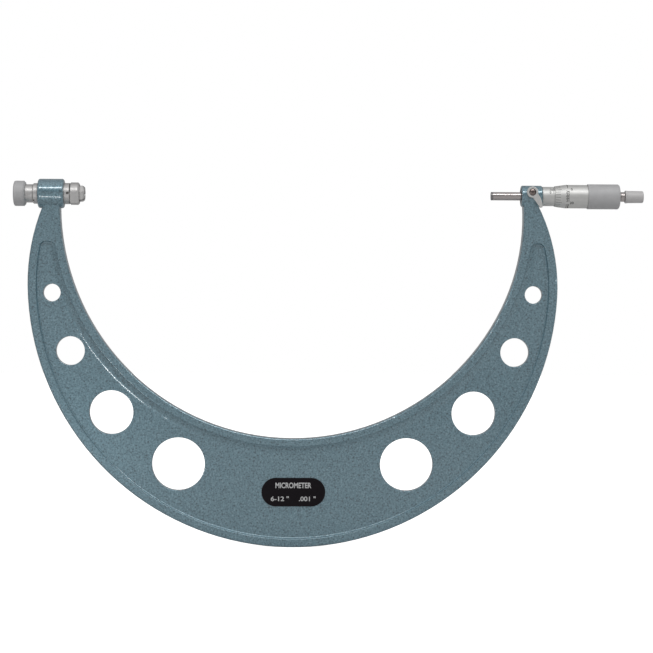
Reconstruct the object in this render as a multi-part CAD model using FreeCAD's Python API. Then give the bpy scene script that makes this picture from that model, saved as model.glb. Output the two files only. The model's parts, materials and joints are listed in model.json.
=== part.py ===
import FreeCAD, Part
import math
import os

# Outside micrometer with a large crescent frame and a socket for interchangeable anvils.
#
# Millimetres. The measuring axis is the X axis. The origin is the centre of the mouth of the
# anvil socket, +X points along the measuring axis to the spindle and the thimble, +Z is up and
# the frame hangs below, and the front face, with the lock lever and the plate, looks along -Y.
# Threads are drawn as plain cylinders at their working diameter, or as rings on the spindle.

os.makedirs("parts", exist_ok=True)

Vector = FreeCAD.Vector
X_AXIS = Vector(1, 0, 0)
Y_AXIS = Vector(0, 1, 0)
Z_AXIS = Vector(0, 0, 1)

# ---------------------------------------------------------------- driving dimensions
INCH = 25.4
READING = 0.150 * INCH         # what the scale shows as the part is drawn, out of 1 inch
PITCH = INCH / 40              # the spindle's screw, 40 threads an inch
ZERO_GAP = 306.49              # socket mouth to spindle face at a zero reading
RUNNING = 0.05                 # radial clearance of a turning or sliding fit

# Crescent frame
MID_X = 159.3                  # middle of the crescent's main arcs and of its holes
INNER_R = 177.8
INNER_Z = -8.4
OUTER_R = 202.0
OUTER_Z = -67.0
# The tighter arcs that lead up to the bosses: radius, and how many degrees below the horizontal
# they leave the main arc.
LEFT_TIP = (156.0, 1.0)
RIGHT_TIP = (139.0, 3.0)
THROAT_TIP = (158.5, 26.0)     # on the throat's right side only
RIM_T = 13.6                   # depth of the rims along Y
WEB_T = 7.4                    # depth of the web between them
OUTER_RIM = 6.6
INNER_RIM = 6.2
RIM_SWEEP = 6.2                # width of the hollow slope from the inner rim to the web
RIM_LIP = 0.8                  # upright part of the pocket's wall above that slope
ARM_TOP = -4.0                 # the crescent's ends, inside the bosses
POCKET_TOP = -36.4
POCKET_TIP_R = 4.6
POCKET_FLOOR_R = 1.3
CASTING_R = 1.5                # rounding of the casting's outer edges
POCKET_EDGE_R = 0.7
HOLES = [(87.06, -205.75, 20.2), (138.25, -166.5, 16.75), (169.6, -119.7, 11.0), (183.8, -75.5, 6.7)]
HOLE_EDGE_R = 0.5

# Plate on the front of the web
PLATE_X = MID_X + 0.8
PLATE_Z = -227.0
PLATE_LENGTH = 48.7
PLATE_HEIGHT = 21.8
PLATE_T = 0.8

# Left boss and the anvil holder in it
LEFT_BOSS = (-35.3, -15.6)
LEFT_BOSS_R = 11.2
HOLDER_R = 6.2                 # the holder's sleeve where the boss holds it
FLANGE_R = 8.05
FLANGE_END = -11.2
FLANGE_HOLE_R = 1.0            # takes a pin spanner
SLEEVE_THREAD_R = 6.05
RING_NUT = (-39.1, LEFT_BOSS[0])
RING_NUT_R = 7.85
SHANK_R = 4.0                  # an anvil's shank, and the socket that holds it
SOCKET_DEPTH = 30.0
COLLET_R = 5.3
COLLET_START = -SOCKET_DEPTH
COLLET_SLOT_END = -9.5
COLLET_THREAD_R = 6.05
NUT = (-10.9, -4.0)
NUT_R = 8.55
NUT_FLATS = 14.3
NUT_TILT = 25                  # the flats face this far below the front, degrees
NOSE_R = 6.4
NOSE_EASE = (1.7, 1.4)         # length along X and height of the nose's front chamfer
NOSE_FLATS = 11.3
NOSE_TILT = 37.5                 # the nose's flats face this far above the front, degrees

# Adjusting knob and the stop that it moves
STOP_R = 3.3
STOP_SHOULDER = -44.0
TAIL_R = 1.9
TAIL_END = -52.1
KEY_X = -37.6
KEY_R = 0.7
KEY_TIP = 2.5
SPIGOT_R = 4.95
SPIGOT_END = -48.0
KNOB = (-53.7, -45.0)
KNOB_R = 9.65
HUB_R = 6.95
KNOB_RING_X = -42.6
KNOB_RING_INNER = 4.45
KNOB_RING_OUTER = 5.4

# Positions along X of the head as drawn
SPINDLE_FACE = ZERO_GAP + READING
THIMBLE_EDGE = 359.0
THIMBLE_END = THIMBLE_EDGE + 49.8
GRIP_START = THIMBLE_END - 24.5
THIMBLE_WALL = (400.4, 406.4)
RIGHT_BOSS = (333.4, 349.3)
GUIDE_END = 353.0
SPLIT_START = 382.5
SPLIT_END = 396.3
SCREW = (358.0, 400.0)

# Head
RIGHT_BOSS_R = 8.2
BUSH_R = 6.2                   # the inner sleeve, where the boss holds it and beyond
SPINDLE_R = 0.125 * INCH
TIP_LENGTH = 1.6
THREAD_R = 3.75
THREAD_DEPTH = 0.35
TAPER_R = (3.5, 3.1)
SPLIT_R = 5.2
ADJUST_NUT_R = 7.0
SLEEVE_R = 7.35
SLEEVE_BORE_R = BUSH_R + RUNNING
THIMBLE_BORE_R = SLEEVE_R + 0.15
THIMBLE_EDGE_R = 7.8
THIMBLE_R = 8.95
BEVEL_LENGTH = 8.0
GRIP_BORE_R = 8.4
GRIP_R = 9.575

# Ratchet stop
STEM_THREAD_R = 1.5
STEM_THREAD_START = 398.5
STEM_R = 2.95
NECK_R = 4.1
RATCHET_START = 413.3
RATCHET_END = 427.3
RATCHET_COLLAR_R = 4.9
RATCHET_R = (4.7, 4.55)
RATCHET_BORE_R = 3.5
RATCHET_FLOOR = 424.0
PIN_R = 1.55
PIN_END = 423.6
TOOTH_X = 415.4
TOOTH_HEIGHT = 0.5
TOOTH_COUNT = 10
TOOTH_WIDTH = 1.6
PAWL_X = TOOTH_X + TOOTH_HEIGHT + 0.1
PAWL_DISC_X = PAWL_X + TOOTH_HEIGHT
PAWL_T = 1.4
LUG_R = 4.0
LUG_HALF = 0.6
SPRING_R = 2.5
SPRING_WIRE_R = 0.3
SPRING_TURNS = 4
SPRING_RUNS = 12               # straight runs in a turn
SCREW_SEAT = 425.4
END_SCREW_R = 1.0
SCREW_HEAD_R = 2.4

# Spindle lock, on an axis along Y through the right boss
LOCK_X = 341.2
LOCK_Z = 2.7
LOCK_SEAT_Y = -7.6
LOCK_HOLE_R = 2.3
LEVER_BACK = -7.7
LEVER_FRONT = -10.3
LEVER_ARM_BACK = -8.6
LEVER_RING_R = 4.3
LEVER_RECESS_R = 2.7
LEVER_RECESS_Y = -9.3
# The arm's outline from the lock axis: along its convex edge, round the tip and back.
LEVER_ARM = [(4.1, -1.2), (6.3, -4.9), (7.6, -10.0), (6.9, -11.7), (5.3, -11.3), (0.2, -4.2)]
STUD_STEP = -6.35              # the stud is narrower behind this, inside the inner sleeve
STUD_BORE_END = -5.6
LOCK_SEAT_R = 4.5
LOCK_SCREW_R = 0.9
LOCK_HEAD_R = 2.6
SHOE_R = 1.7
SHOE_BACK = -1.5
SHOE_FRONT = -4.4


# ---------------------------------------------------------------- helpers
def turned(profile):
    """Solid of revolution about the measuring axis from a list of (x, radius)."""
    points = [Vector(x, 0, r) for x, r in profile]
    face = Part.Face(Part.makePolygon(points + [points[0]]))
    return face.revolve(Vector(0, 0, 0), X_AXIS, 360)


def rod(x0, x1, radius):
    """Cylinder along X."""
    return Part.makeCylinder(radius, x1 - x0, Vector(x0, 0, 0), X_AXIS)


def tube(x0, x1, outer, inner):
    return rod(x0, x1, outer).cut(rod(x0, x1, inner))


def chamfered_rod(x0, x1, radius, left, right):
    """Cylinder along X with a 45 degree chamfer at each end."""
    return turned([(x0, 0), (x0, radius - left), (x0 + left, radius),
                   (x1 - right, radius), (x1, radius - right), (x1, 0)])


def across(y0, y1, x, z, radius):
    """Cylinder along Y."""
    return Part.makeCylinder(radius, y1 - y0, Vector(x, y0, z), Y_AXIS)


def lock_across(y0, y1, radius):
    """Cylinder on the lock's axis."""
    return across(y0, y1, LOCK_X, LOCK_Z, radius)


def block(x0, x1, y0, y1, z0, z1):
    return Part.makeBox(x1 - x0, y1 - y0, z1 - z0, Vector(x0, y0, z0))


def spun(shape, angle):
    """Copy turned about the measuring axis, in degrees."""
    copy = shape.copy()
    copy.rotate(Vector(0, 0, 0), X_AXIS, angle)
    return copy


def rim_edges(shape, x, radius):
    """Circular edges about the measuring axis at x with this radius."""
    found = []
    for edge in shape.Edges:
        box = edge.BoundBox
        flat = abs(box.XMin - x) < 0.01 and abs(box.XMax - x) < 0.01
        if flat and abs(box.ZMax - radius) < 0.01:
            found.append(edge)
    return found


def eased(shape, radius, *rims):
    """Round the circular edges given as (x, radius)."""
    edges = []
    for x, r in rims:
        edges += rim_edges(shape, x, r)
    return shape.makeFillet(radius, edges)


def save(name, shape):
    shape.exportStep("parts/" + name + ".step")


# ---------------------------------------------------------------- frame
def on_arc(centre_x, centre_z, radius, degrees):
    a = math.radians(degrees)
    return Vector(centre_x + radius * math.cos(a), 0, centre_z + radius * math.sin(a))


def outer_outline(inset, top):
    """Outer edge of the crescent from the left boss round to the right one, moved inwards."""
    arcs = []
    for side, (radius, low) in ((-1, LEFT_TIP), (1, RIGHT_TIP)):
        towards = -low if side > 0 else low - 180
        centre = on_arc(MID_X, OUTER_Z, OUTER_R - radius, towards)
        high = math.degrees(math.asin((top - centre.z) / (radius - inset)))
        angles = [-low, (high - low) / 2, high]
        if side < 0:
            angles = [180 - a for a in reversed(angles)]
        arcs.append((centre.x, centre.z, radius - inset, angles))
    main = [LEFT_TIP[1] - 180, -90, -RIGHT_TIP[1]]
    arcs.insert(1, (MID_X, OUTER_Z, OUTER_R - inset, main))
    edges = []
    for x, z, radius, angles in arcs:
        start, middle, end = [on_arc(x, z, radius, a) for a in angles]
        if edges:
            start = edges[-1].Vertexes[-1].Point
        edges.append(Part.Arc(start, middle, end).toShape())
    return edges


def crescent(inset, top, depth):
    """Slab with the crescent's outer outline and a straight top, centred on Y = 0."""
    outer = outer_outline(inset, top)
    left_top = outer[0].Vertexes[0].Point
    right_top = outer[-1].Vertexes[-1].Point
    lid = Part.makeLine(right_top, left_top)
    slab = Part.Face(Part.Wire(outer + [lid])).extrude(Vector(0, depth, 0))
    slab.translate(Vector(0, -depth / 2, 0))
    return slab


def throat():
    """What is cut out of the crescent's middle: a circle, tighter on its way to the right boss."""
    radius, low = THROAT_TIP
    lid_z = ARM_TOP / 2
    centre = on_arc(MID_X, INNER_Z, INNER_R - radius, -low)
    left = 180 - math.degrees(math.asin((lid_z - INNER_Z) / INNER_R))
    right = math.degrees(math.asin((lid_z - centre.z) / radius))
    joint = on_arc(MID_X, INNER_Z, INNER_R, -low)
    main = Part.Arc(on_arc(MID_X, INNER_Z, INNER_R, left), on_arc(MID_X, INNER_Z, INNER_R, -90), joint)
    tip = Part.Arc(joint, on_arc(centre.x, centre.z, radius, (right - low) / 2),
                   on_arc(centre.x, centre.z, radius, right))
    lid = Part.makeLine(tip.EndPoint, main.StartPoint)
    face = Part.Face(Part.Wire([main.toShape(), tip.toShape(), lid]))
    cut = face.extrude(Vector(0, 2 * RIM_T, 0))
    cut.translate(Vector(0, -RIM_T, 0))
    return cut


def inner_slope():
    """Ring whose face sweeps from the inner rim down to the web in a hollow curve, both sides."""
    start = INNER_R + INNER_RIM
    end = start + RIM_SWEEP
    rise = (RIM_T - WEB_T) / 2 - RIM_LIP
    radius = (RIM_SWEEP ** 2 + rise ** 2) / (2 * rise)
    half = math.asin(RIM_SWEEP / radius) / 2
    rings = []
    for side in (-1, 1):
        foot = Vector(end, side * WEB_T / 2, 0)
        crest = Vector(start, side * (WEB_T / 2 + rise), 0)
        corner = Vector(start, side * WEB_T / 2, 0)
        bend = Vector(end - radius * math.sin(half),
                      side * (WEB_T / 2 + radius * (1 - math.cos(half))), 0)
        curve = Part.Arc(crest, bend, foot).toShape()
        wire = Part.Wire([curve, Part.makeLine(foot, corner), Part.makeLine(corner, crest)])
        ring = Part.Face(wire).revolve(Vector(0, 0, 0), Y_AXIS, 360)
        ring.translate(Vector(MID_X, 0, INNER_Z))
        rings.append(ring)
    return rings


def pocket(side, slope):
    """What is cut from one face of the crescent between its rims."""
    depth = (RIM_T - WEB_T) / 2
    slab = crescent(OUTER_RIM, POCKET_TOP, depth)
    slab = slab.cut(across(-depth, depth, MID_X, INNER_Z, INNER_R + INNER_RIM))
    tips = []
    for edge in slab.Edges:
        box = edge.BoundBox
        if box.YLength > depth / 2 and box.ZMax > POCKET_TOP - 0.1:
            tips.append(edge)
    slab = slab.makeFillet(POCKET_TIP_R, tips)
    slab.translate(Vector(0, side * (WEB_T + depth) / 2, 0))
    floor = [e for e in slab.Edges if abs(e.BoundBox.YMin - side * WEB_T / 2) < 0.01
             and e.BoundBox.YLength < 0.01]
    slab = slab.makeFillet(POCKET_FLOOR_R, floor)
    return slab.cut(slope)


def frame():
    body = crescent(0, ARM_TOP, RIM_T).cut(throat())
    outline = [e for e in body.Edges if e.BoundBox.YLength < 0.01 and e.BoundBox.ZMin < 2 * ARM_TOP]
    body = body.makeFillet(CASTING_R, outline)
    slopes = inner_slope()
    for side, slope in ((-1, slopes[0]), (1, slopes[1])):
        body = body.cut(pocket(side, slope))
    body = body.makeFillet(POCKET_EDGE_R, [e for e in body.Edges if is_pocket_edge(e)])
    for x, z, radius in HOLES:
        for side in (-1, 1):
            hole = across(-RIM_T, RIM_T, MID_X + side * x, z, radius)
            body = body.cut(hole)
    body = body.makeFillet(HOLE_EDGE_R, [e for e in body.Edges if is_hole_edge(e)])
    left = eased(rod(*LEFT_BOSS, LEFT_BOSS_R), 1.6, (LEFT_BOSS[0], LEFT_BOSS_R),
                 (LEFT_BOSS[1], LEFT_BOSS_R))
    right = eased(rod(*RIGHT_BOSS, RIGHT_BOSS_R), 1.0, (RIGHT_BOSS[0], RIGHT_BOSS_R),
                  (RIGHT_BOSS[1], RIGHT_BOSS_R))
    body = body.fuse(left).fuse(right)
    body = body.cut(rod(LEFT_BOSS[0] - 1, LEFT_BOSS[1] + 1, HOLDER_R))
    body = body.cut(rod(RIGHT_BOSS[0] - 1, RIGHT_BOSS[1] + 1, BUSH_R))
    body = body.cut(lock_across(-2 * RIGHT_BOSS_R, LOCK_SEAT_Y, LOCK_SEAT_R))
    body = body.cut(lock_across(-2 * RIGHT_BOSS_R, 0, LOCK_HOLE_R))
    return body.removeSplitter()


def is_pocket_edge(edge):
    """True for the edges where a rim's face ends at a pocket."""
    box = edge.BoundBox
    on_face = box.YLength < 0.01 and abs(abs(box.YMin) - RIM_T / 2) < 0.01
    lowest = OUTER_Z - OUTER_R + OUTER_RIM / 2
    return on_face and box.ZMax < POCKET_TOP + 0.1 and box.ZMin > lowest


def is_hole_edge(edge):
    box = edge.BoundBox
    if box.YLength > 0.01 or not hasattr(edge.Curve, "Radius"):
        return False
    return any(abs(edge.Curve.Radius - radius) < 0.01 and abs(edge.Curve.Center.z - z) < 0.01
               for x, z, radius in HOLES)


def range_plate():
    """Thin plate with round ends on the front of the web."""
    half = PLATE_LENGTH / 2 - PLATE_HEIGHT / 2
    front = -WEB_T / 2 - PLATE_T
    y = (front, -WEB_T / 2)
    plate = block(PLATE_X - half, PLATE_X + half, *y, PLATE_Z - PLATE_HEIGHT / 2,
                  PLATE_Z + PLATE_HEIGHT / 2)
    for side in (-1, 1):
        plate = plate.fuse(across(*y, PLATE_X + side * half, PLATE_Z, PLATE_HEIGHT / 2))
    plate = plate.removeSplitter()
    return plate.makeFillet(0.25, [e for e in plate.Edges if e.BoundBox.YMax < front + 0.01])


# ---------------------------------------------------------------- anvil holder, left boss
def anvil_sleeve():
    """Steel sleeve fixed in the boss: flange, seat, threaded rear end and a spigot for the knob."""
    rear = RING_NUT[0]
    flange = LEFT_BOSS[1]
    body = turned([(SPIGOT_END, STOP_R + RUNNING), (SPIGOT_END, SPIGOT_R - 0.3),
                   (SPIGOT_END + 0.3, SPIGOT_R), (KNOB_RING_X - 0.4, SPIGOT_R),
                   (KNOB_RING_X - 0.4, KNOB_RING_INNER), (KNOB_RING_X + 0.4, KNOB_RING_INNER),
                   (KNOB_RING_X + 0.4, SPIGOT_R), (rear, SPIGOT_R), (rear, SLEEVE_THREAD_R),
                   (LEFT_BOSS[0], SLEEVE_THREAD_R), (LEFT_BOSS[0], HOLDER_R), (flange, HOLDER_R),
                   (flange, FLANGE_R), (FLANGE_END - 0.3, FLANGE_R), (FLANGE_END, FLANGE_R - 0.3),
                   (FLANGE_END, COLLET_R), (COLLET_START, COLLET_R),
                   (COLLET_START, STOP_R + RUNNING)])
    body = body.cut(Part.makeCylinder(KEY_R, 12, Vector(KEY_X, 0, 0), Z_AXIS))
    return body.cut(across(-FLANGE_R - 1, -COLLET_R, FLANGE_END - 1.3, 0, FLANGE_HOLE_R))


def holder_ring_nut():
    """Ring nut that draws the sleeve's flange against the boss."""
    x0, x1 = RING_NUT
    nut = turned([(x0, SLEEVE_THREAD_R), (x0, RING_NUT_R - 0.5), (x0 + 0.5, RING_NUT_R),
                  (x1 - 0.3, RING_NUT_R), (x1, RING_NUT_R - 0.3), (x1, SLEEVE_THREAD_R)])
    notch = block(x0 - 1, x0 + 1.4, -0.8, 0.8, RING_NUT_R - 0.9, RING_NUT_R + 1)
    return nut.cut(spun(notch, 135)).cut(spun(notch, 225))


def anvil_collet():
    """Split clamping collet: the anvil's shank slides in it and its nut closes it."""
    rod_part = turned([(COLLET_START, SHANK_R), (COLLET_START, COLLET_R), (FLANGE_END, COLLET_R),
                       (FLANGE_END, COLLET_THREAD_R), (NUT[1], COLLET_THREAD_R),
                       (NUT[1], SHANK_R)])
    nose = turned([(NUT[1], SHANK_R), (NUT[1], NOSE_R), (-NOSE_EASE[0], NOSE_R), (0, NOSE_R - NOSE_EASE[1]),
                   (0, SHANK_R)])
    half_flat = NOSE_FLATS / 2
    for i in range(6):
        flat = block(NUT[1] - 1, 1, half_flat, NOSE_R + 1, -NOSE_R, NOSE_R)
        nose = nose.cut(spun(flat, 60 * i - NOSE_TILT))
    body = rod_part.fuse(nose)
    for i in range(3):
        slot = block(COLLET_SLOT_END, 1, -0.35, 0.35, 0, NOSE_R + 1)
        body = body.cut(spun(slot, 120 * i + 60 - NOSE_TILT))
    return body.removeSplitter()


def collet_nut():
    """Round nut with two spanner flats that closes the collet."""
    x0, x1 = NUT
    x1 -= 0.05
    bore = COLLET_THREAD_R + RUNNING
    nut = turned([(x0, bore), (x0, NUT_R - 0.6), (x0 + 0.6, NUT_R), (x1 - 0.9, NUT_R),
                  (x1, NUT_R - 0.9), (x1, bore)])
    for turn in (0, 180):
        flat = block(x0 - 1, x1 + 1, -NUT_R - 1, -NUT_FLATS / 2, -NUT_R, NUT_R)
        nut = nut.cut(spun(flat, NUT_TILT + turn))
    return nut


def stop_plunger():
    """Stop behind the anvil. A key keeps it from turning, so the knob's screw moves it along."""
    body = turned([(TAIL_END, 0), (TAIL_END, TAIL_R - 0.3), (TAIL_END + 0.3, TAIL_R),
                   (STOP_SHOULDER, TAIL_R), (STOP_SHOULDER, STOP_R), (-SOCKET_DEPTH - 0.3, STOP_R),
                   (-SOCKET_DEPTH, STOP_R - 0.3), (-SOCKET_DEPTH, 0)])
    keyway = block(KEY_X - 2.9, KEY_X + 2.9, -KEY_R - RUNNING, KEY_R + RUNNING, KEY_TIP - 0.1,
                   STOP_R + 1)
    driver_slot = block(TAIL_END - 1, TAIL_END + 0.8, -0.3, 0.3, -TAIL_R, TAIL_R)
    return body.cut(keyway).cut(driver_slot)


def stop_key():
    length = SLEEVE_THREAD_R - KEY_TIP - 0.2
    return Part.makeCylinder(KEY_R, length, Vector(KEY_X, 0, KEY_TIP), Z_AXIS)


def knob_ring():
    """Split snap ring that keeps the adjusting knob on the sleeve's spigot."""
    ring = tube(KNOB_RING_X - 0.35, KNOB_RING_X + 0.35, KNOB_RING_OUTER, KNOB_RING_INNER)
    gap = block(KNOB_RING_X - 1, KNOB_RING_X + 1, -0.8, 0.8, -KNOB_RING_OUTER - 1, 0)
    return ring.cut(gap)


def adjusting_knob():
    """Knob with a hub that turns on the spigot. Its threaded middle drives the stop."""
    x0, x1 = KNOB
    hub_end = RING_NUT[0] - 0.15
    bore = SPIGOT_R + RUNNING
    groove = KNOB_RING_OUTER + RUNNING
    floor = SPIGOT_END - 0.3
    return turned([(x0, TAIL_R + RUNNING), (x0, KNOB_R - 1.3), (x0 + 0.35, KNOB_R - 0.45),
                   (x0 + 1.2, KNOB_R), (x1 - 1.1, KNOB_R), (x1, KNOB_R - 1.1), (x1, HUB_R + 0.5),
                   (x1 + 0.5, HUB_R), (hub_end, HUB_R), (hub_end, bore),
                   (KNOB_RING_X + 0.4, bore), (KNOB_RING_X + 0.4, groove),
                   (KNOB_RING_X - 0.4, groove), (KNOB_RING_X - 0.4, bore), (floor, bore),
                   (floor, TAIL_R + RUNNING)])


# ---------------------------------------------------------------- head, right boss
def inner_sleeve():
    """Sleeve fixed in the boss. It guides the spindle and ends in the split spindle nut."""
    x0 = RIGHT_BOSS[0] + 0.5
    body = turned([(x0, SPINDLE_R + RUNNING), (x0, BUSH_R), (SPLIT_START, BUSH_R),
                   (SPLIT_START, SPLIT_R), (SPLIT_END, SPLIT_R), (SPLIT_END, THREAD_R + RUNNING),
                   (SPLIT_START, THREAD_R + RUNNING), (SPLIT_START, THREAD_R + 0.4),
                   (GUIDE_END, THREAD_R + 0.4), (GUIDE_END, SPINDLE_R + RUNNING)])
    for i in range(3):
        slot = block(SPLIT_START + 2.5, SPLIT_END + 1, -0.35, 0.35, 0, SPLIT_R + 1)
        body = body.cut(spun(slot, 120 * i))
    return body.cut(across(-BUSH_R - 1, 0, LOCK_X, LOCK_Z, SHOE_R))


def graduated_sleeve():
    """Outer sleeve that carries the main scale. It turns on the inner sleeve to set zero."""
    x0 = RIGHT_BOSS[1] + 0.1
    x1 = SPLIT_START - 0.3
    body = turned([(x0, SLEEVE_BORE_R), (x0, SLEEVE_R - 0.15), (x0 + 0.15, SLEEVE_R),
                   (x1 - 0.3, SLEEVE_R), (x1, SLEEVE_R - 0.3), (x1, SLEEVE_BORE_R)])
    spanner_hole = Part.makeCylinder(0.6, 4, Vector(x0 + 2.0, SLEEVE_BORE_R - 1, 0), Y_AXIS)
    return body.cut(spanner_hole)


def adjusting_nut():
    """Nut on the split end that takes up play in the spindle's thread."""
    x0 = SPLIT_START + 1.2
    x1 = x0 + 7.5
    nut = turned([(x0, SPLIT_R), (x0, ADJUST_NUT_R - 0.3), (x0 + 0.3, ADJUST_NUT_R),
                  (x1 - 0.3, ADJUST_NUT_R), (x1, ADJUST_NUT_R - 0.3), (x1, SPLIT_R)])
    notch = block(x1 - 1.5, x1 + 1, -0.6, 0.6, ADJUST_NUT_R - 1.2, ADJUST_NUT_R + 1)
    for i in range(4):
        nut = nut.cut(spun(notch, 90 * i + 45))
    return nut


def screw_turns():
    return int((SCREW[1] - SCREW[0]) / PITCH)


def spindle():
    """Spindle with its screw drawn as rings at the real pitch, and a taper for the thimble."""
    profile = [(SPINDLE_FACE + TIP_LENGTH, 0), (SPINDLE_FACE + TIP_LENGTH, SPINDLE_R),
               (SCREW[0] - 1.5, SPINDLE_R), (SCREW[0] - 1.5, SPINDLE_R - 0.2),
               (SCREW[0], SPINDLE_R - 0.2)]
    for i in range(screw_turns()):
        x = SCREW[0] + i * PITCH
        profile += [(x, THREAD_R - THREAD_DEPTH), (x + PITCH / 2, THREAD_R)]
    screw_end = SCREW[0] + screw_turns() * PITCH
    profile += [(screw_end, THREAD_R - THREAD_DEPTH), (screw_end, TAPER_R[0]),
                (THIMBLE_WALL[1], TAPER_R[1]), (THIMBLE_WALL[1], STEM_THREAD_R),
                (STEM_THREAD_START - 0.5, STEM_THREAD_R), (STEM_THREAD_START - 1.5, 0)]
    return turned(profile)


def spindle_tip():
    """Hard measuring face brazed to the spindle's end."""
    return chamfered_rod(SPINDLE_FACE, SPINDLE_FACE + TIP_LENGTH, SPINDLE_R, 0.15, 0)


def thimble():
    """Graduated barrel with a bevelled edge. Its end wall sits on the spindle's taper."""
    x0, x1 = THIMBLE_WALL
    screw_end = SCREW[0] + screw_turns() * PITCH
    taper = (TAPER_R[0] - TAPER_R[1]) / (x1 - screw_end)
    return turned([(THIMBLE_EDGE, THIMBLE_BORE_R), (THIMBLE_EDGE, THIMBLE_EDGE_R),
                   (THIMBLE_EDGE + BEVEL_LENGTH, THIMBLE_R), (GRIP_START, THIMBLE_R),
                   (GRIP_START, GRIP_BORE_R), (x1, GRIP_BORE_R), (x1, TAPER_R[1]),
                   (x0, TAPER_R[1] + taper * (x1 - x0)), (x0, THIMBLE_BORE_R)])


def thimble_grip():
    """Knurled grip pressed over the rear of the thimble, with its own end wall."""
    body = turned([(GRIP_START, GRIP_BORE_R), (GRIP_START, GRIP_R - 0.15),
                   (GRIP_START + 0.15, GRIP_R), (THIMBLE_END, GRIP_R), (THIMBLE_END, STEM_R),
                   (THIMBLE_WALL[1], STEM_R), (THIMBLE_WALL[1], GRIP_BORE_R)])
    return eased(body, 1.7, (THIMBLE_END, GRIP_R))


def toothed_ring(x0, x1, outer, inner):
    """Ring whose right face, at x1, has saw teeth cut into it."""
    ring = tube(x0, x1, outer, inner)
    points = [Vector(x1 - TOOTH_HEIGHT, 0, 0), Vector(x1, 0, 0), Vector(x1, TOOTH_WIDTH, 0)]
    gap = Part.Face(Part.makePolygon(points + [points[0]])).extrude(Vector(0, 0, outer + 1))
    for i in range(TOOTH_COUNT):
        ring = ring.cut(spun(gap, 360 * i / TOOTH_COUNT))
    return ring


def ratchet_stem():
    """Stem screwed into the spindle: neck, ratchet teeth and the pin that the knob turns on."""
    neck_end = RATCHET_START - 0.1
    waist = NECK_R - 0.4
    body = turned([(STEM_THREAD_START, 0), (STEM_THREAD_START, STEM_THREAD_R),
                   (THIMBLE_WALL[1], STEM_THREAD_R), (THIMBLE_WALL[1], STEM_R),
                   (THIMBLE_END, STEM_R),
                   (THIMBLE_END, NECK_R), (THIMBLE_END + 0.8, NECK_R), (THIMBLE_END + 1.2, waist),
                   (neck_end - 0.6, waist), (neck_end, NECK_R),
                   (neck_end, RATCHET_BORE_R - RUNNING),
                   (TOOTH_X, RATCHET_BORE_R - RUNNING), (TOOTH_X, PIN_R), (PIN_END, PIN_R),
                   (PIN_END, END_SCREW_R), (PIN_END - 6, END_SCREW_R), (PIN_END - 7, 0)])
    teeth = toothed_ring(TOOTH_X, TOOTH_X + TOOTH_HEIGHT, RATCHET_BORE_R - RUNNING, PIN_R)
    return body.fuse(teeth).removeSplitter()


def ratchet_pawl():
    """Toothed disc keyed in the knob and pushed towards the stem's teeth by the spring."""
    thickness = PAWL_T + TOOTH_HEIGHT
    disc = toothed_ring(0, thickness, RATCHET_BORE_R, PIN_R + RUNNING)
    disc.rotate(Vector(0, 0, 0), Z_AXIS, 180)
    disc.translate(Vector(PAWL_X + thickness, 0, 0))
    lug = block(PAWL_DISC_X, PAWL_DISC_X + PAWL_T, -LUG_HALF, LUG_HALF, RATCHET_BORE_R - 0.6, LUG_R)
    for turn in (0, 180):
        disc = disc.fuse(spun(lug, turn))
    return disc.removeSplitter()


def ratchet_spring():
    """Compression spring between the pawl and the knob's end wall, its coil in short straight runs."""
    start = PAWL_DISC_X + PAWL_T + SPRING_WIRE_R
    length = RATCHET_FLOOR - start - SPRING_WIRE_R
    steps = SPRING_TURNS * SPRING_RUNS
    points = []
    for i in range(steps + 1):
        a = 2 * math.pi * i / SPRING_RUNS
        points.append(Vector(start + length * i / steps, SPRING_R * math.cos(a), SPRING_R * math.sin(a)))
    section = Part.Wire(Part.makeCircle(SPRING_WIRE_R, points[0], points[1] - points[0]))
    shell = Part.Wire(Part.makePolygon(points)).makePipeShell([section], True, False, 1)
    return shell.Solids[0] if shell.Solids else Part.Solid(shell)


def ratchet_knob():
    """Hollow knob with the keyways for the pawl and a recess for the end screw."""
    x0 = RATCHET_START
    x1 = RATCHET_END
    hole = END_SCREW_R + RUNNING
    recess = SCREW_HEAD_R + 0.1
    body = turned([(x0, RATCHET_BORE_R), (x0, RATCHET_COLLAR_R - 0.3),
                   (x0 + 0.3, RATCHET_COLLAR_R), (x0 + 1.3, RATCHET_COLLAR_R),
                   (x0 + 1.5, RATCHET_R[0]), (x1, RATCHET_R[1]), (x1, recess),
                   (SCREW_SEAT, recess), (SCREW_SEAT, hole), (RATCHET_FLOOR, hole),
                   (RATCHET_FLOOR, RATCHET_BORE_R)])
    body = eased(body, 1.0, (x1, RATCHET_R[1]))
    for turn in (0, 180):
        keyway = block(RATCHET_START - 1, RATCHET_FLOOR, -LUG_HALF, LUG_HALF, 0, LUG_R)
        body = body.cut(spun(keyway, turn))
    return body


def thrust_washer():
    """Washer under the end screw's head. It takes the knob's end load as the head moves."""
    return tube(SCREW_SEAT + 0.05, SCREW_SEAT + 0.35, SCREW_HEAD_R, END_SCREW_R + RUNNING)


def ratchet_screw():
    """Slotted screw that holds the ratchet together."""
    head = SCREW_SEAT + 0.4
    body = turned([(PIN_END - 5, 0), (PIN_END - 5, END_SCREW_R), (head, END_SCREW_R),
                   (head, SCREW_HEAD_R), (head + 1.0, SCREW_HEAD_R),
                   (head + 1.25, SCREW_HEAD_R - 0.25), (head + 1.25, 0)])
    return body.cut(block(head + 0.6, head + 2, -0.3, 0.3, -3, 3))


# ---------------------------------------------------------------- spindle lock
def lock_stud():
    """Threaded stud in the boss. Turning it presses the shoe against the spindle."""
    stud = lock_across(LEVER_BACK, STUD_STEP, LOCK_HOLE_R - RUNNING)
    stud = stud.fuse(lock_across(STUD_STEP, SHOE_FRONT - 0.1, SHOE_R - 0.1))
    return stud.cut(lock_across(LEVER_BACK, STUD_BORE_END, LOCK_SCREW_R))


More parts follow.
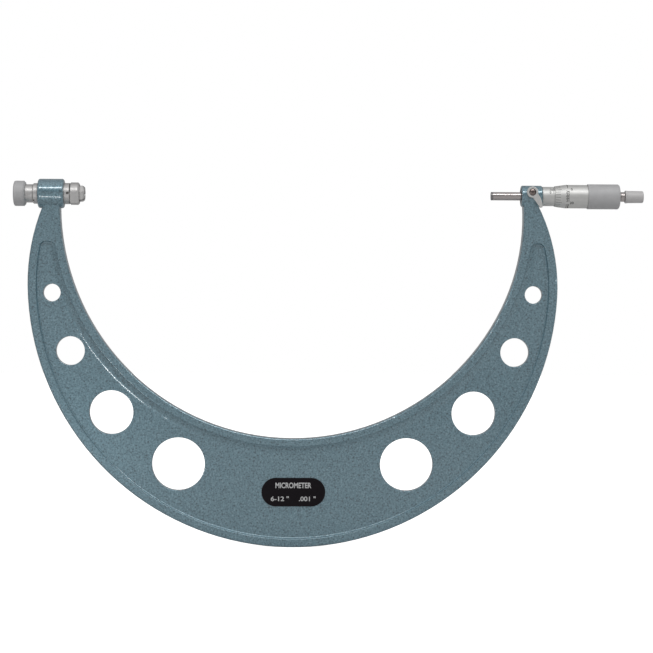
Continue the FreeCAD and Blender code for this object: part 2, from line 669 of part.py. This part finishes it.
def lock_shoe():
    """Brass shoe between the stud and the spindle, hollowed to the spindle's curve."""
    shoe = lock_across(SHOE_FRONT, SHOE_BACK, SHOE_R)
    return shoe.cut(rod(LOCK_X - 5, LOCK_X + 5, SPINDLE_R + RUNNING))


def lock_lever():
    """Lever with a ring at one end, recessed for its screw, and a curved tapering arm."""
    points = [Vector(LOCK_X + x, LEVER_FRONT, LOCK_Z + z) for x, z in LEVER_ARM]
    outline = [Part.Arc(points[0], points[1], points[2]).toShape(),
               Part.Arc(points[2], points[3], points[4]).toShape(),
               Part.makeLine(points[4], points[5]), Part.makeLine(points[5], points[0])]
    arm = Part.Face(Part.Wire(outline)).extrude(Vector(0, LEVER_ARM_BACK - LEVER_FRONT, 0))
    body = arm.fuse(lock_across(LEVER_FRONT, LEVER_BACK, LEVER_RING_R)).removeSplitter()
    front = [e for e in body.Edges if e.BoundBox.YMax < LEVER_FRONT + 0.01]
    body = body.makeFillet(0.35, front)
    body = body.cut(lock_across(LEVER_FRONT - 1, LEVER_RECESS_Y, LEVER_RECESS_R))
    return body.cut(lock_across(LEVER_FRONT, LEVER_BACK, LOCK_SCREW_R))


def lock_screw():
    """Domed screw with a small socket that holds the lever on its stud."""
    rise = 0.75
    ball_r = (LOCK_HEAD_R ** 2 + rise ** 2) / (2 * rise)
    skirt = LEVER_RECESS_Y - 0.35
    ball = Part.makeSphere(ball_r, Vector(LOCK_X, skirt - rise + ball_r, LOCK_Z))
    head = ball.common(lock_across(skirt - rise, LEVER_RECESS_Y, LOCK_HEAD_R))
    head = head.cut(lock_across(skirt - rise - 1, skirt - rise + 0.6, 0.6))
    return head.fuse(lock_across(LEVER_RECESS_Y, STUD_BORE_END - 0.2, LOCK_SCREW_R)).removeSplitter()


PIECES = [frame, range_plate, anvil_sleeve, holder_ring_nut, anvil_collet, collet_nut, stop_plunger,
          stop_key, knob_ring, adjusting_knob, inner_sleeve, graduated_sleeve, adjusting_nut,
          spindle, spindle_tip, thimble, thimble_grip, ratchet_stem, ratchet_pawl, ratchet_spring,
          ratchet_knob, thrust_washer, ratchet_screw, lock_stud, lock_shoe, lock_lever, lock_screw]

for piece in PIECES:
    save(piece.__name__, piece())
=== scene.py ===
import json
import math

import bmesh
import bpy
from mathutils import Matrix, Vector


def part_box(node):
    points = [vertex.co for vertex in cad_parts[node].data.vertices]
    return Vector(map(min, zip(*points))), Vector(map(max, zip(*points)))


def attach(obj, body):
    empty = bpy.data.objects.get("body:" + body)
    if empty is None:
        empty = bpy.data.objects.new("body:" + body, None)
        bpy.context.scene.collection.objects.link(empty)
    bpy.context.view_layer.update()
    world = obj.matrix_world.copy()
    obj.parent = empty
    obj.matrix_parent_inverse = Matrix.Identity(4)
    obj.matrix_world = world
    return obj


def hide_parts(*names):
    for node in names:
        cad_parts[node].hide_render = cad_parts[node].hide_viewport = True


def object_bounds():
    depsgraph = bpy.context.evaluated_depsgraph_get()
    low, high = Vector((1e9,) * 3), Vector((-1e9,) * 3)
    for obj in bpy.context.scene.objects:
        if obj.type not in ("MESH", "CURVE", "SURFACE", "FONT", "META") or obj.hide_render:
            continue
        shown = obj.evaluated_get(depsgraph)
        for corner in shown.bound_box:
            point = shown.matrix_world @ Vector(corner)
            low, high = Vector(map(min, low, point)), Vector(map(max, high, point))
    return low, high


# Looks of a large outside micrometer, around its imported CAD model. Metres, in the model's frame:
# the measuring axis is X, the front looks along -Y and the crescent hangs below.

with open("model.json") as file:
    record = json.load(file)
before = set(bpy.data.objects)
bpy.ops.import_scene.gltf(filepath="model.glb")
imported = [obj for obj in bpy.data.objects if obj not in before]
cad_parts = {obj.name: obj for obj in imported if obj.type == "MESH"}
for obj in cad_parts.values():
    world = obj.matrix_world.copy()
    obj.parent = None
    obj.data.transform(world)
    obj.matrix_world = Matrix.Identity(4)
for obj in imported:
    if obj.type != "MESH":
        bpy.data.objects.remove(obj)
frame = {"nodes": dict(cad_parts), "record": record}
cad_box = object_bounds()

MM = 0.001

# ---------------------------------------------------------------- camera and light
CAMERA_DISTANCE = 1.5
CAMERA_AIM = Vector((0.18485, 0, -0.10043))
CAMERA_PITCH = 0.50            # degrees
CAMERA_ROLL = 0.28
CAMERA_YAW = 1.18
CAMERA_LENS = 108.06           # millimetres, on the usual 36 mm sensor

# A long softbox stands high in front of the object's middle.
KEY_AZIMUTH = 14               # degrees, from straight in front to the right
KEY_ELEVATION = 50
KEY_DISTANCE = 1.7
KEY_WIDTH = 1.8
KEY_HEIGHT = 0.22
KEY_POWER = 6.6                # watts

# A row of small lights just above the floor, in front on the left, makes the inner rim sparkle.
LOW_ROW_START = Vector((-0.264, -0.95, -0.25))
LOW_ROW_END = Vector((-0.05, -0.36, -0.25))
LOW_ROW_AIM = Vector((0.03, 0, -0.14))
LOW_COUNT = 8
LOW_SIZE = 0.03
LOW_POWER = 0.013

# How bright the studio's walls are, by their place round the X axis, in turns: 0.5 is the front,
# 0.75 straight above and 1 the back.
STUDIO_SHADES = ((0.0, 0.30), (0.47, 0.45), (0.52, 0.40), (0.54, 0.22), (0.57, 0.22), (0.60, 0.50),
                 (0.72, 0.62), (0.77, 0.50), (0.85, 0.33), (1.0, 0.30))
STUDIO_BLUE = 1.01             # the walls' blue, against their red and green
FLOOR_RADIUS = 4

# ---------------------------------------------------------------- knurls
STEPS_A_TOOTH = 4              # round the wall
ROWS_CROSSED = 8               # along the wall, at least
ROWS_STRAIGHT = 12
WALL_SHARE = 0.965             # a knurled wall reaches at least this share of the widest radius
WALL_SLOPE = 0.06              # and its normal leans at most this much along the axis
WELD_DISTANCE = 0.002 * MM
HUB_GAP = 1.15 * MM            # from the knurl's right end to the smooth hub

# ---------------------------------------------------------------- scale marks
INCH = 25.4 * MM
THIMBLE_DIVISIONS = 25         # a thousandth of an inch each
SLEEVE_DIVISIONS = 40          # of the sleeve's inch
READING = 0.150 * INCH
INDEX_ANGLE = 36               # the index line stands this far above the front, degrees
THIMBLE_EDGE_R = 7.8 * MM      # at the left end of the thimble's bevel
BEVEL_LENGTH = 8 * MM
EDGE_GAP = 0.35 * MM           # from the thimble's edge to its marks
LONG_MARK = 4.6 * MM           # every fifth on the thimble
SHORT_MARK = 3.6 * MM
LONG_NUMBER_X = 12.4 * MM      # from the thimble's edge to the numbers' middle
SHORT_NUMBER_X = 9.3 * MM
LONG_TICK = 2.6 * MM           # every fourth on the sleeve
SHORT_TICK = 1.5 * MM
TICK_NUMBER_Y = -1.9 * MM
INDEX_OVERRUN = 0.8 * MM       # of the index line, past both ends of its scale
MARK_WIDTH = 0.22 * MM
MARK_PROUD = 0.02 * MM
MARK_DEPTH = 0.05 * MM
CURVE_STEP = 0.35 * MM         # marks are cut this fine, to follow a curved wall
DIGIT_HEIGHT = 1.9 * MM
DIGIT_WIDTH = 0.95             # as a share of the font's own
DIGIT_BOLD = 0.04 * MM
BIG_DIGITS = 1.15              # size of every fifth number, against the others
CAP_SHARE = 0.70               # height of a capital, as a share of the font's size

# The plate's texts: height, width share, boldness, and place right of and above the plate's middle.
PLATE_TEXTS = (
    ("MICROMETER", 4.0 * MM, 0.78, 0.16 * MM, 0, 5.2 * MM),
    ('6-12 "', 3.4 * MM, 1.18, 0.1 * MM, -10.4 * MM, -5.0 * MM),
    ('.001 "', 3.4 * MM, 1.15, 0.1 * MM, 10.6 * MM, -5.0 * MM),
)


# ---------------------------------------------------------------- material helpers
def grey(value):
    return (value,) * 3


def darker(colour, share):
    return tuple(channel * share for channel in colour)


def surface(name, metallic, roughness, **sockets):
    """New material with these values set on its shader. Returns (material, shader)."""
    material = bpy.data.materials.new(name)
    material.use_nodes = True
    shader = material.node_tree.nodes["Principled BSDF"]
    shader.inputs["Metallic"].default_value = metallic
    shader.inputs["Roughness"].default_value = roughness
    for socket, value in sockets.items():
        shader.inputs[socket.replace("_", " ")].default_value = value
    return material, shader


def add(material, kind, **values):
    """New node with these input values, by socket name, or properties."""
    node = material.node_tree.nodes.new("ShaderNode" + kind)
    for key, value in values.items():
        socket = key.replace("_", " ")
        if socket in node.inputs:
            node.inputs[socket].default_value = value
        else:
            setattr(node, key, value)
    return node


def join(material, source, target):
    material.node_tree.links.new(source, target)


def object_coords(material, scale=(1, 1, 1)):
    """Position on the object, stretched by scale."""
    coords = add(material, "TexCoord")
    mapping = add(material, "Mapping", Scale=scale)
    join(material, coords.outputs["Object"], mapping.inputs["Vector"])
    return mapping.outputs["Vector"]


def noise(material, vector, scale, detail=2.0, rough=0.5):
    node = add(material, "TexNoise", Scale=scale, Detail=detail, Roughness=rough)
    join(material, vector, node.inputs["Vector"])
    return node.outputs["Fac"]


def ramp(material, factor, *stops):
    """Colour ramp with stops of (position, colour)."""
    node = add(material, "ValToRGB")
    elements = node.color_ramp.elements
    while len(elements) < len(stops):
        elements.new(0.5)
    for element, (position, colour) in zip(elements, stops):
        element.position = position
        element.color = (*colour, 1)
    join(material, factor, node.inputs["Fac"])
    return node.outputs["Color"]


def grey_ramp(material, factor, low, high, start=0.35, end=0.65):
    return ramp(material, factor, (start, grey(low)), (end, grey(high)))


def bump(material, shader, height, distance, strength):
    node = add(material, "Bump", Distance=distance, Strength=strength)
    join(material, height, node.inputs["Height"])
    join(material, node.outputs["Normal"], shader.inputs["Normal"])
    return node.outputs["Normal"]


def in_corners(material, colour, distance):
    """The same colour with painted shade: darker in gaps and corners, by ambient occlusion."""
    node = add(material, "AmbientOcclusion", samples=8)
    node.inputs["Distance"].default_value = distance
    join(material, colour, node.inputs["Color"])
    return node.outputs["Color"]


# ---------------------------------------------------------------- materials
def hammertone():
    """Blue-grey hammertone enamel: small dimples, darker flecks and broken highlights."""
    material, shader = surface("hammertone_enamel", 0.5, 0.34, Coat_Weight=1.0, Coat_Roughness=0.04,
                               Coat_IOR=2.1)
    vector = object_coords(material)
    flecks = noise(material, vector, 760, 2.5, 0.6)
    colour = ramp(material, flecks, (0.33, (0.066, 0.127, 0.160)), (0.45, (0.141, 0.274, 0.337)),
                  (0.56, (0.182, 0.335, 0.405)), (0.70, (0.278, 0.456, 0.535)))
    join(material, colour, shader.inputs["Base Color"])
    dimples = noise(material, vector, 640, 2.0, 0.5)
    relief = bump(material, shader, dimples, 0.06 * MM, 0.8)
    join(material, relief, shader.inputs["Coat Normal"])
    return material


def plate_black():
    """Black lacquer with a faint grain."""
    material, shader = surface("black_plate", 0.0, 0.38, Specular_IOR_Level=0.2)
    vector = object_coords(material)
    grain = noise(material, vector, 1500, 3)
    colour = ramp(material, grain, (0.3, (0.004, 0.002, 0.004)), (0.7, (0.008, 0.005, 0.008)))
    join(material, colour, shader.inputs["Base Color"])
    bump(material, shader, grain, 0.01 * MM, 0.5)
    return material


def turned_metal(name, colour, roughness, spread=0.08, ring_height=0.004 * MM):
    """Metal turned about the measuring axis: fine rings, roughness that varies a little, and painted shade
    in gaps and corners.
    """
    material, shader = surface(name, 1.0, roughness)
    rings = noise(material, object_coords(material, (6000, 60, 60)), 1.0, 3, 0.6)
    patches = noise(material, object_coords(material), 260, 2)
    tint = ramp(material, patches, (0.3, darker(colour, 0.94)), (0.7, colour))
    # Painted shade: the base colour darkens in gaps and corners, where little light reaches.
    join(material, in_corners(material, tint, 1.2 * MM), shader.inputs["Base Color"])
    rough = grey_ramp(material, rings, roughness - spread / 2, roughness + spread / 2)
    join(material, rough, shader.inputs["Roughness"])
    bump(material, shader, rings, ring_height, 0.6)
    return material


def matte_metal(name, colour, roughness, metallic=1.0):
    """Plated metal with a very fine blasted grain."""
    material, shader = surface(name, metallic, roughness)
    vector = object_coords(material)
    grain = noise(material, vector, 2600, 2)
    patches = noise(material, vector, 180, 2)
    tint = ramp(material, patches, (0.3, darker(colour, 0.93)), (0.7, colour))
    join(material, tint, shader.inputs["Base Color"])
    rough = grey_ramp(material, grain, roughness - 0.05, roughness + 0.05)
    join(material, rough, shader.inputs["Roughness"])
    bump(material, shader, grain, 0.012 * MM, 0.7)
    return material


def paint_mark(name, colour):
    """Paint that fills the engraved marks."""
    material, shader = surface(name, 0.0, 0.6)
    vector = object_coords(material)
    grain = noise(material, vector, 4000, 2)
    tint = ramp(material, grain, (0.3, darker(colour, 0.8)), (0.7, colour))
    join(material, tint, shader.inputs["Base Color"])
    bump(material, shader, grain, 0.004 * MM, 0.5)
    return material


FINISHES = {
    "hammertone_enamel": hammertone(),
    "black_plate": plate_black(),
    "satin_steel": turned_metal("satin_steel", (0.74, 0.73, 0.72), 0.44),
    "satin_chrome": turned_metal("satin_chrome", (0.83, 0.83, 0.81), 0.52),
    "knurled_chrome": matte_metal("knurled_chrome", (0.64, 0.64, 0.645), 0.65, 0.4),
    "polished_steel": turned_metal("polished_steel", (0.64, 0.595, 0.58), 0.20, 0.04, 0.001 * MM),
    "carbide": matte_metal("carbide", (0.35, 0.34, 0.34), 0.28),
    "hard_steel": turned_metal("hard_steel", (0.45, 0.45, 0.45), 0.35),
    "spring_steel": matte_metal("spring_steel", (0.40, 0.39, 0.38), 0.30),
    "dark_screw": turned_metal("dark_screw", (0.34, 0.28, 0.26), 0.20, 0.04),
    "brass": turned_metal("brass", (0.78, 0.58, 0.28), 0.35),
}
FINE_KNURL = matte_metal("knurled_chrome_fine", (0.74, 0.73, 0.725), 0.65, 0.4)
SLOTS = {part["node"]: part["material_slot"] for part in frame["record"]["subparts"]}
for name, node in frame["nodes"].items():
    node.data.materials.clear()
    node.data.materials.append(FINISHES[SLOTS[name]])


# ---------------------------------------------------------------- mesh helpers
def piece(name, mesh, body):
    """New object of this mesh that rides on a body."""
    obj = bpy.data.objects.new(name, mesh)
    bpy.context.scene.collection.objects.link(obj)
    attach(obj, body)
    return obj


def mesh_of(name, bm, material):
    mesh = bpy.data.meshes.new(name)
    bm.to_mesh(mesh)
    bm.free()
    mesh.materials.append(material)
    return mesh


def add_quad_strip(bm, flat):
    """Faces between neighbouring rows of vertices, each row closed on itself."""
    for low, high in zip(flat[:-1], flat[1:]):
        count = len(low)
        for i in range(count):
            j = (i + 1) % count
            bm.faces.new((low[i], low[j], high[j], high[i]))


# ---------------------------------------------------------------- knurled parts
def ridge(turn):
    """0 on a ridge and 1 in a groove, once a turn."""
    return 0.5 - 0.5 * math.cos(2 * math.pi * turn)


def outer_band(bm):
    """Faces of the widest outer wall about the measuring axis."""
    widest = max(math.hypot(v.co.y, v.co.z) for v in bm.verts)
    found = []
    for face in bm.faces:
        centre = face.calc_center_median()
        out = Vector((0, centre.y, centre.z))
        innermost = min(math.hypot(v.co.y, v.co.z) for v in face.verts)
        faces_out = abs(face.normal.x) < WALL_SLOPE and face.normal.dot(out) > 0
        if innermost > WALL_SHARE * widest and faces_out:
            found.append(face)
    return found


def knurled(name, body, pitch, depth, crossed, finish, hub=None):
    """Stand for a CAD node with its widest wall cut by a knurl, crossed or straight.

    Faces beyond the knurl's right end take the hub's finish, if one is given.
    """
    bm = bmesh.new()
    bm.from_mesh(frame["nodes"][name].data)
    bmesh.ops.remove_doubles(bm, verts=bm.verts, dist=WELD_DISTANCE)
    band = outer_band(bm)
    rim = [(v.co.x, math.hypot(v.co.y, v.co.z)) for face in band for v in face.verts]
    (x0, r0), (x1, r1) = min(rim), max(rim)
    bmesh.ops.delete(bm, geom=band, context="FACES")
    teeth = round(2 * math.pi * max(r0, r1) / pitch)
    around = teeth * STEPS_A_TOOTH
    along = max(ROWS_CROSSED, 2 * math.ceil((x1 - x0) / pitch * 2)) if crossed else ROWS_STRAIGHT
    rows = []
    for i in range(along + 1):
        share = i / along
        x = x0 + (x1 - x0) * share
        # The knurl runs out over about a third of its pitch at each end.
        fade = min(1, 3 * share * (1 - share) * (x1 - x0) / pitch)
        radius = r0 + (r1 - r0) * share
        row = []
        for k in range(around):
            turn = teeth * k / around
            rise = (x - x0) / pitch if crossed else 0
            cut = ridge(turn + rise) + ridge(turn - rise) if crossed else 2 * ridge(turn)
            r = radius - depth * fade * cut / 2
            a = 2 * math.pi * k / around
            row.append(bm.verts.new((x, r * math.cos(a), r * math.sin(a))))
        rows.append(row)
    add_quad_strip(bm, rows)
    bmesh.ops.recalc_face_normals(bm, faces=bm.faces)
    mesh = mesh_of(name + "_knurled", bm, finish)
    if hub:
        mesh.materials.append(hub)
        for polygon in mesh.polygons:
            polygon.material_index = int(polygon.center.x > x1 + HUB_GAP)
    mesh.polygons.foreach_set("use_smooth", [True] * len(mesh.polygons))
    mesh.set_sharp_from_angle(angle=math.radians(28))
    obj = piece(name + "_knurled", mesh, body)
    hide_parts(name)


knurled("thimble_grip", "thimble", 0.75 * MM, 0.13 * MM, True, FINISHES["knurled_chrome"])
knurled("adjusting_knob", "adjusting_knob", 0.8 * MM, 0.14 * MM, True, FINISHES["knurled_chrome"],
        FINISHES["satin_steel"])
knurled("ratchet_knob", "ratchet", 0.55 * MM, 0.10 * MM, False, FINE_KNURL)


# ---------------------------------------------------------------- marks and lettering
def lettering(text, height, across, bold):
    """Flat mesh of a text, centred on the origin, with capitals this high."""
    curve = bpy.data.curves.new("lettering", "FONT")
    curve.body = text
    curve.size = height / CAP_SHARE
    curve.offset = bold
    curve.resolution_u = 4
    obj = bpy.data.objects.new("lettering", curve)
    bpy.context.scene.collection.objects.link(obj)
    bpy.context.view_layer.update()
    mesh = bpy.data.meshes.new_from_object(obj.evaluated_get(bpy.context.evaluated_depsgraph_get()))
    bpy.data.objects.remove(obj)
    flat = [(v.co.x * across, v.co.y) for v in mesh.vertices]
    middle = [(min(c) + max(c)) / 2 for c in zip(*flat)]
    points = [(x - middle[0], y - middle[1]) for x, y in flat]
    faces = [tuple(p.vertices) for p in mesh.polygons]
    bpy.data.meshes.remove(mesh)
    return points, faces


def stroke(length, width):
    """Flat mark of this length along its first axis, starting at the origin."""
    half = width / 2
    return [(0, -half), (length, -half), (length, half), (0, half)], [(0, 1, 2, 3)]


def turned_flat(shape):
    """The same flat mark turned a quarter, to run along the second axis."""
    points, faces = shape
    return [(-y, x) for x, y in points], faces


class Marks:
    """Flat marks gathered in the plane of (along X, along the surface) and laid on the object."""

    def __init__(self):
        self.bm = bmesh.new()

    def put(self, shape, x, y):
        points, faces = shape
        verts = [self.bm.verts.new((x + u, y + v, 0)) for u, v in points]
        for face in faces:
            self.bm.faces.new([verts[i] for i in face])

    def split(self, step):
        """Cut the marks along lines step apart, so that they can follow a curved wall."""
        ys = [v.co.y for v in self.bm.verts]
        for i in range(math.ceil(min(ys) / step), math.ceil(max(ys) / step)):
            geometry = self.bm.verts[:] + self.bm.edges[:] + self.bm.faces[:]
            bmesh.ops.bisect_plane(self.bm, geom=geometry, plane_co=(0, i * step, 0),
                                   plane_no=(0, 1, 0))

    def lay(self, place):
        """Move every point to place(x, y, how proud), and give the marks their depth."""
        flat = self.bm.faces[:]
        copies = bmesh.ops.duplicate(self.bm, geom=self.bm.verts[:] + self.bm.edges[:] + flat)
        sunk = {element for element in copies["geom"] if isinstance(element, bmesh.types.BMVert)}
        twin = {a: b for a, b in copies["vert_map"].items() if isinstance(a, bmesh.types.BMVert)}
        border = [e for face in flat for e in face.edges if len(e.link_faces) == 1]
        for edge in border:
            a, b = edge.verts
            self.bm.faces.new((a, b, twin[b], twin[a]))
        for vert in self.bm.verts:
            proud = MARK_PROUD - MARK_DEPTH if vert in sunk else MARK_PROUD
            vert.co = place(vert.co.x, vert.co.y, proud)
        bmesh.ops.recalc_face_normals(self.bm, faces=self.bm.faces)
        return self.bm


def on_turned_wall(radius_at, angle):
    """Place for marks on a wall about the measuring axis. The angle is above the front, in degrees."""
    def place(x, y, proud):
        radius = radius_at(x)
        a = math.radians(angle) + y / radius
        radius += proud
        return Vector((x, -radius * math.cos(a), radius * math.sin(a)))
    return place


thimble_low, thimble_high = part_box("thimble")
thimble_edge = thimble_low.x
thimble_r = thimble_high.z
sleeve_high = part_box("graduated_sleeve")[1]
zero_x = thimble_edge - READING


def thimble_radius(x):
    share = min(1, max(0, (x - thimble_edge) / BEVEL_LENGTH))
    return THIMBLE_EDGE_R + (thimble_r - THIMBLE_EDGE_R) * share


def thimble_marks():
    """A mark and a number for each division of the thimble, every fifth of them larger."""
    marks = bmesh.new()
    for i in range(THIMBLE_DIVISIONS):
        fifth = i % 5 == 0
        number_x = LONG_NUMBER_X if fifth else SHORT_NUMBER_X
        height = DIGIT_HEIGHT * (BIG_DIGITS if fifth else 1)
        sign = Marks()
        sign.put(stroke(LONG_MARK if fifth else SHORT_MARK, MARK_WIDTH), thimble_edge + EDGE_GAP, 0)
        sign.put(lettering(str(i), height, DIGIT_WIDTH, DIGIT_BOLD), thimble_edge + number_x, 0)
        sign.split(CURVE_STEP)
        bm = sign.lay(on_turned_wall(thimble_radius, INDEX_ANGLE + 360 * i / THIMBLE_DIVISIONS))
        gathered = bpy.data.meshes.new("mark")
        bm.to_mesh(gathered)
        bm.free()
        marks.from_mesh(gathered)
        bpy.data.meshes.remove(gathered)
    mesh = mesh_of("thimble_marks", marks, paint_mark("thimble_paint", grey(0.02)))
    piece("thimble_marks", mesh, "thimble")


def sleeve_marks():
    """Index line, a tick each 0.025 inch above it and a number each 0.1 inch below it."""
    sleeve_r = sleeve_high.z
    marks = Marks()
    marks.put(stroke(INCH + 2 * INDEX_OVERRUN, MARK_WIDTH), zero_x - INDEX_OVERRUN, 0)
    for i in range(SLEEVE_DIVISIONS + 1):
        tenth, rest = divmod(i, 4)
        x = zero_x + i * INCH / SLEEVE_DIVISIONS
        marks.put(turned_flat(stroke(SHORT_TICK if rest else LONG_TICK, MARK_WIDTH)), x, 0)
        if not rest:
            marks.put(lettering(str(tenth % 10), DIGIT_HEIGHT, DIGIT_WIDTH, DIGIT_BOLD), x, TICK_NUMBER_Y)
    marks.split(CURVE_STEP)
    bm = marks.lay(on_turned_wall(lambda x: sleeve_r, INDEX_ANGLE))
    mesh = mesh_of("sleeve_marks", bm, paint_mark("sleeve_paint", grey(0.07)))
    piece("sleeve_marks", mesh, "sleeve")


def plate_lettering():
    """Range and graduation value on the plate, under a plain word for the tool."""
    low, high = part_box("range_plate")
    centre = (low + high) / 2
    marks = Marks()
    for text, height, across, bold, x, y in PLATE_TEXTS:
        marks.put(lettering(text, height, across, bold), x, y)
    bm = marks.lay(lambda x, y, proud: Vector((centre.x + x, low.y - proud, centre.z + y)))
    mesh = mesh_of("plate_lettering", bm, paint_mark("plate_paint", grey(0.72)))
    piece("plate_lettering", mesh, "frame")


thimble_marks()
sleeve_marks()
plate_lettering()


# ---------------------------------------------------------------- camera, light and floor
def add_camera():
    turn = (Matrix.Rotation(math.radians(CAMERA_ROLL), 3, "Y")
            @ Matrix.Rotation(math.radians(CAMERA_PITCH), 3, "X")
            @ Matrix.Rotation(math.radians(CAMERA_YAW), 3, "Z")).transposed()
    data = bpy.data.cameras.new("camera")
    data.lens = CAMERA_LENS
    data.clip_end = 50
    camera = bpy.data.objects.new("camera", data)
    bpy.context.scene.collection.objects.link(camera)
    place = Matrix.Translation(CAMERA_AIM + turn @ Vector((0, -CAMERA_DISTANCE, 0)))
    camera.matrix_world = place @ (turn @ Matrix.Rotation(math.pi / 2, 3, "X")).to_4x4()
    bpy.context.scene.camera = camera


def add_softbox(name, spot, aim, width, height, power):
    """Rectangular soft light at a spot, aimed at another."""
    data = bpy.data.lights.new(name, "AREA")
    data.shape = "RECTANGLE"
    data.size = width
    data.size_y = height
    data.energy = power
    light = bpy.data.objects.new(name, data)
    bpy.context.scene.collection.objects.link(light)
    light.location = spot
    light.rotation_euler = (spot - aim).to_track_quat("Z", "Y").to_euler()


def add_lights():
    middle = (cad_box[0] + cad_box[1]) / 2
    a = math.radians(KEY_AZIMUTH)
    e = math.radians(KEY_ELEVATION)
    away = Vector((math.sin(a) * math.cos(e), -math.cos(a) * math.cos(e), math.sin(e)))
    add_softbox("key", middle + away * KEY_DISTANCE, middle, KEY_WIDTH, KEY_HEIGHT, KEY_POWER)
    for i in range(LOW_COUNT):
        spot = LOW_ROW_START.lerp(LOW_ROW_END, i / (LOW_COUNT - 1))
        add_softbox(f"low_{i}", spot, LOW_ROW_AIM, LOW_SIZE, LOW_SIZE, LOW_POWER)


def add_world():
    """White studio, darker low in front and behind, and plain white where it is seen directly."""
    world = bpy.data.worlds.new("studio")
    bpy.context.scene.world = world
    world.use_nodes = True
    nodes = world.node_tree.nodes
    links = world.node_tree.links
    background = nodes["Background"]
    coords = nodes.new("ShaderNodeTexCoord")
    split = nodes.new("ShaderNodeSeparateXYZ")
    turn = nodes.new("ShaderNodeCombineXYZ")
    flip = nodes.new("ShaderNodeMapping")
    around = nodes.new("ShaderNodeTexGradient")
    around.gradient_type = "RADIAL"
    flip.inputs["Scale"].default_value = (1, -1, 1)
    shade = nodes.new("ShaderNodeValToRGB")
    elements = shade.color_ramp.elements
    while len(elements) < len(STUDIO_SHADES):
        elements.new(0.5)
    for element, (position, value) in zip(elements, STUDIO_SHADES):
        element.position = position
        element.color = (value, value, value * STUDIO_BLUE, 1)
    path = nodes.new("ShaderNodeLightPath")
    mix = nodes.new("ShaderNodeMix")
    mix.data_type = "RGBA"
    # The node repeats its socket names for each data type, so its colour sockets go by number.
    factor, studio, seen, result = mix.inputs[0], mix.inputs[6], mix.inputs[7], mix.outputs[2]
    seen.default_value = (1, 1, 1, 1)
    links.new(coords.outputs["Generated"], flip.inputs["Vector"])
    links.new(flip.outputs["Vector"], split.inputs["Vector"])
    links.new(split.outputs["Y"], turn.inputs["X"])
    links.new(split.outputs["Z"], turn.inputs["Y"])
    links.new(turn.outputs["Vector"], around.inputs["Vector"])
    links.new(around.outputs["Fac"], shade.inputs["Fac"])
    links.new(path.outputs["Is Camera Ray"], factor)
    links.new(shade.outputs["Color"], studio)
    links.new(result, background.inputs["Color"])


def add_floor():
    """Large pale floor under the crescent."""
    bm = bmesh.new()
    bmesh.ops.create_circle(bm, cap_ends=True, segments=96, radius=FLOOR_RADIUS)
    material, shader = surface("pale_floor", 0.0, 0.8, Emission_Color=(1, 1, 1, 1))
    join(material, add(material, "LightPath").outputs["Is Camera Ray"], shader.inputs["Emission Strength"])
    patches = noise(material, object_coords(material), 3)
    tint = grey_ramp(material, patches, 0.64, 0.67, 0.3, 0.7)
    join(material, tint, shader.inputs["Base Color"])
    floor = bpy.data.objects.new("floor", mesh_of("floor", bm, material))
    bpy.context.scene.collection.objects.link(floor)
    middle = (cad_box[0] + cad_box[1]) / 2
    floor.location = (middle.x, middle.y, cad_box[0].z)


add_camera()
add_world()
add_floor()
add_lights()
bpy.context.scene.view_settings.view_transform = "Standard"
